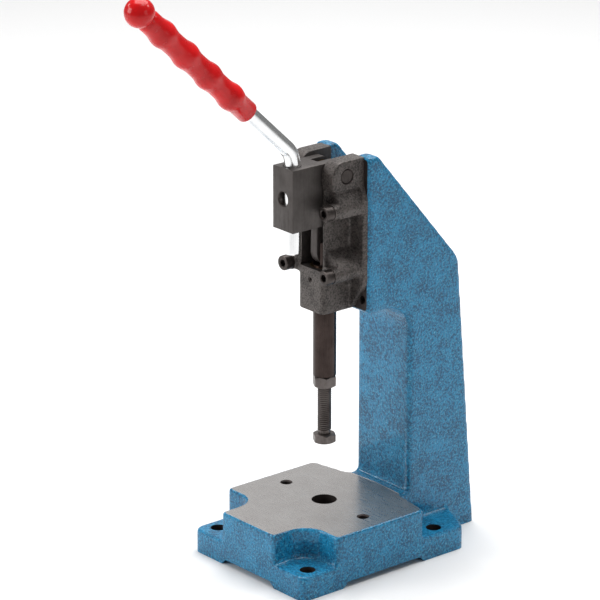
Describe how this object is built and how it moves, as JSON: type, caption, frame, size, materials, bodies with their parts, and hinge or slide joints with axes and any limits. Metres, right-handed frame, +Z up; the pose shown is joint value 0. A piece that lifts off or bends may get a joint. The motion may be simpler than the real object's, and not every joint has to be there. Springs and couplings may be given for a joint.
{
  "type": "bench toggle press",
  "caption": "Hand-lever bench press with a C-shaped casting, toggle link and guided round ram over a machined table.",
  "frame": {"origin": "on the bench, straight below the ram's axis and the middle of the table bore", "axes": "+Z up along the ram axis, +X to the right across the press, +Y to the rear; the grip points to -Y"},
  "size_m": [0.147, 0.3502, 0.525],
  "materials": {
    "casting_paint": "blue hammertone enamel with a bare machined table and mounting face",
    "head_iron": "dark phosphated, rough cast",
    "lever_steel": "dark phosphated, machined",
    "dark_steel": "blackened",
    "ground_steel": "ground",
    "zinc_steel": "bright zinc plated",
    "bronze": "bearing bronze",
    "red_grip": "glossy moulded"
  },
  "bodies": {
    "base": {"frame_casting": "casting_paint", "head_body": "head_iron", "guide_bush_lower": "bronze", "guide_bush_upper": "bronze", "head_screw_1": "dark_steel", "head_screw_2": "dark_steel", "head_screw_3": "dark_steel", "head_screw_4": "dark_steel", "key_screw": "dark_steel", "lever_pin": "dark_steel"},
    "lever": {"lever_block": "lever_steel", "lever_bush_left": "bronze", "lever_bush_right": "bronze"},
    "clamp": {"clamp_screw": "dark_steel"},
    "handle": {"handle_rod": "zinc_steel", "handle_grip": "red_grip"},
    "ram": {"ram": "ground_steel", "link_pin_lower": "ground_steel"},
    "link": {"toggle_link": "lever_steel", "link_bush": "bronze", "link_pin_upper": "ground_steel"},
    "spindle": {"spindle_screw": "dark_steel"},
    "nut": {"lock_nut": "dark_steel"}
  },
  "joints": [
    {"name": "lever_swing", "type": "hinge", "parent": "base", "child": "lever", "pos_m": [0, 0, 0.346], "axis": [1, 0, 0], "range_deg": [-70, 0]},
    {"name": "ram_slide", "type": "slide", "parent": "base", "child": "ram", "axis": [0, 0, 1], "range_m": [0, 0.032]},
    {"name": "link_swing", "type": "hinge", "parent": "ram", "child": "link", "pos_m": [0, 0, 0.276], "axis": [1, 0, 0], "range_deg": [0, 46]},
    {"name": "spindle_adjust", "type": "slide", "parent": "ram", "child": "spindle", "axis": [0, 0, 1], "range_m": [-0.015, 0.04]},
    {"name": "nut_turn", "type": "hinge", "parent": "ram", "child": "nut", "pos_m": [0, 0, 0.158], "axis": [0, 0, 1], "range_deg": [0, 90]},
    {"name": "clamp_screw_slide", "type": "slide", "parent": "lever", "child": "clamp", "axis": [0, -1, 0], "range_m": [0, 0.006]},
    {"name": "handle_swivel", "type": "hinge", "parent": "lever", "child": "handle", "pos_m": [0, -0.0357, 0.32], "axis": [0, 0, 1], "range_deg": [-90, 90]}
  ],
  "couplings": [
    {"joint": "ram_slide", "follows": "lever_swing", "m_per_rad": -0.02567},
    {"joint": "link_swing", "follows": "lever_swing", "ratio": -0.64}
  ]
}
